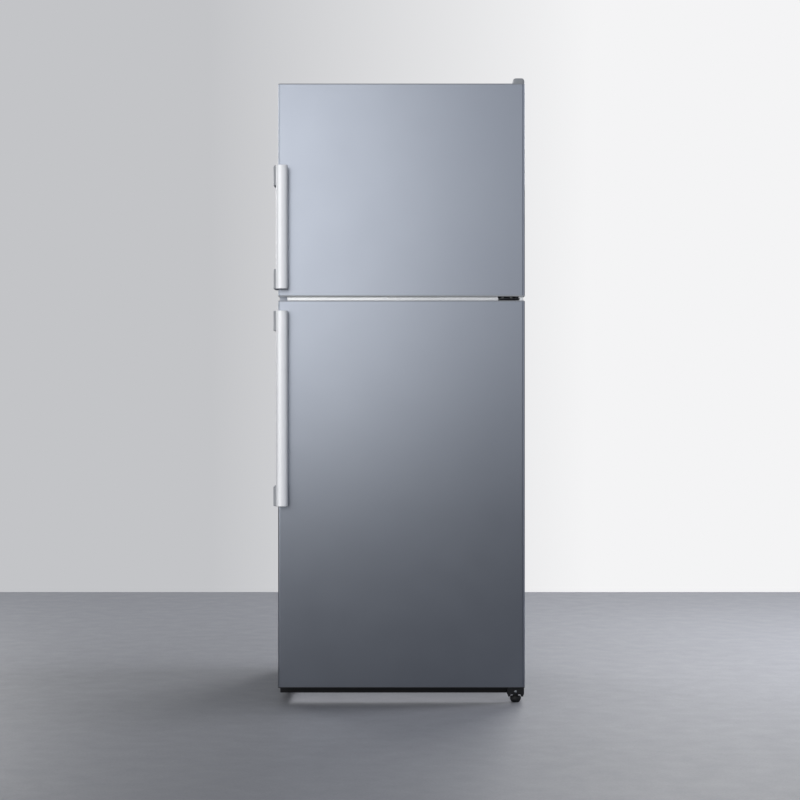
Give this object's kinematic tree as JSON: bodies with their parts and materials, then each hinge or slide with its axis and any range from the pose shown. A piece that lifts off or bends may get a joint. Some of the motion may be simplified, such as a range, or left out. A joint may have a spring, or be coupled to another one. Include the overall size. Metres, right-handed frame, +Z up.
{
  "type": "top freezer refrigerator",
  "caption": "Free-standing top freezer refrigerator with a steel cabinet, right hinged foam filled doors, bar handles, shelves, drawers, door bins and a rear machine bay.",
  "frame": {"origin": "on the floor, under the middle of the cabinet", "axes": "+X to the right seen from the front, -Y out of the doors, +Z up"},
  "size_m": [0.6705, 0.712, 1.672],
  "materials": {
    "stainless_steel": "satin bluish stainless sheet, fine brushed grain",
    "painted_steel": "smooth satin grey paint on steel sheet",
    "galvanised_steel": "dull zinc coated sheet",
    "black_steel": "satin black powder coat",
    "satin_aluminium": "satin anodised",
    "grey_plastic": "moulded, fine satin grain",
    "white_plastic": "vacuum formed, soft gloss",
    "clear_plastic": "clear moulded, gloss",
    "glass": "tempered clear glass, pale green edge",
    "seal_rubber": "matt soft grey",
    "black_plastic": "moulded, matt",
    "foam": "cellular, pale yellow",
    "black_enamel": "baked black enamel"
  },
  "bodies": {
    "cabinet": {"left_side_panel": "painted_steel", "right_side_panel": "painted_steel", "top_panel": "painted_steel", "mullion_rail": "painted_steel", "back_panel": "galvanised_steel", "bottom_deck": "galvanised_steel", "base_plate": "galvanised_steel", "rear_cover": "galvanised_steel", "top_hinge": "galvanised_steel", "base_rail": "black_steel", "middle_hinge": "black_steel", "bottom_hinge": "black_steel", "evaporator": "satin_aluminium", "top_hinge_cover": "grey_plastic", "freezer_liner": "white_plastic", "fridge_liner": "white_plastic", "evaporator_cover": "white_plastic", "freezer_shelf": "white_plastic", "control_housing": "white_plastic", "upper_shelf": "glass", "middle_shelf": "glass", "crisper_cover": "glass", "cord_inlet": "black_plastic", "cabinet_foam": "foam", "compressor": "black_enamel", "condenser": "black_enamel"},
    "freezer_door": {"freezer_door_skin": "stainless_steel", "freezer_door_bottom_cap": "grey_plastic", "freezer_door_top_cap": "grey_plastic", "freezer_door_foam": "foam", "freezer_door_liner": "white_plastic", "freezer_door_gasket": "seal_rubber", "freezer_door_handle": "satin_aluminium", "freezer_door_handle_lower_mount": "grey_plastic", "freezer_door_handle_upper_mount": "grey_plastic", "freezer_bin_lower": "clear_plastic", "freezer_bin_upper": "clear_plastic"},
    "fridge_door": {"fridge_door_skin": "stainless_steel", "fridge_door_bottom_cap": "grey_plastic", "fridge_door_top_cap": "grey_plastic", "fridge_door_foam": "foam", "fridge_door_liner": "white_plastic", "fridge_door_gasket": "seal_rubber", "fridge_door_handle": "satin_aluminium", "fridge_door_handle_lower_mount": "grey_plastic", "fridge_door_handle_upper_mount": "grey_plastic", "fridge_bin_lower": "clear_plastic", "fridge_bin_middle": "clear_plastic", "fridge_bin_upper": "clear_plastic", "dairy_bin": "clear_plastic"},
    "dairy_lid": {"dairy_cover": "clear_plastic"},
    "fan": {"evaporator_fan": "black_plastic"},
    "knob": {"thermostat_knob": "grey_plastic"},
    "switch_plunger": {"light_switch": "white_plastic"},
    "left_drawer": {"crisper_left": "clear_plastic"},
    "right_drawer": {"crisper_right": "clear_plastic"},
    "left_foot": {"foot_left": "black_plastic"},
    "right_foot": {"foot_right": "black_plastic"},
    "left_roller": {"roller_left": "black_plastic"},
    "right_roller": {"roller_right": "black_plastic"}
  },
  "joints": [
    {"name": "freezer_door_hinge", "type": "hinge", "parent": "cabinet", "child": "freezer_door", "pos_m": [0.31, -0.272, 1.3715], "axis": [0, 0, 1], "range_deg": [0, 140]},
    {"name": "fridge_door_hinge", "type": "hinge", "parent": "cabinet", "child": "fridge_door", "pos_m": [0.31, -0.272, 0.558], "axis": [0, 0, 1], "range_deg": [0, 140]},
    {"name": "dairy_cover_hinge", "type": "hinge", "parent": "fridge_door", "child": "dairy_lid", "pos_m": [0, -0.238, 0.903], "axis": [1, 0, 0], "range_deg": [0, 85]},
    {"name": "crisper_left_slide", "type": "slide", "parent": "cabinet", "child": "left_drawer", "axis": [0, -1, 0], "range_m": [0, 0.2]},
    {"name": "crisper_right_slide", "type": "slide", "parent": "cabinet", "child": "right_drawer", "axis": [0, -1, 0], "range_m": [0, 0.2]},
    {"name": "light_switch_plunger", "type": "slide", "parent": "cabinet", "child": "switch_plunger", "axis": [0, -1, 0], "range_m": [0, 0.006]},
    {"name": "thermostat_knob_turn", "type": "hinge", "parent": "cabinet", "child": "knob", "pos_m": [0.096, -0.063, 1.022], "axis": [0, -1, 0], "range_deg": [0, 270]},
    {"name": "evaporator_fan_spin", "type": "hinge", "parent": "cabinet", "child": "fan", "pos_m": [0, 0.241, 1.48], "axis": [0, 1, 0], "continuous": true},
    {"name": "left_foot_screw", "type": "hinge", "parent": "cabinet", "child": "left_foot", "pos_m": [-0.306, -0.105, 0.01], "axis": [0, 0, 1], "continuous": true},
    {"name": "right_foot_screw", "type": "hinge", "parent": "cabinet", "child": "right_foot", "pos_m": [0.306, -0.28, 0.01], "axis": [0, 0, 1], "continuous": true},
    {"name": "left_roller_spin", "type": "hinge", "parent": "cabinet", "child": "left_roller", "pos_m": [-0.27, 0.318, 0.012], "axis": [1, 0, 0], "continuous": true},
    {"name": "right_roller_spin", "type": "hinge", "parent": "cabinet", "child": "right_roller", "pos_m": [0.27, 0.318, 0.012], "axis": [1, 0, 0], "continuous": true}
  ],
  "couplings": [
    {"joint": "crisper_left_slide", "follows": "fridge_door_hinge", "m_per_rad": 0.0818},
    {"joint": "crisper_right_slide", "follows": "fridge_door_hinge", "m_per_rad": 0.0818},
    {"joint": "light_switch_plunger", "follows": "fridge_door_hinge", "m_per_rad": 0.00245}
  ]
}
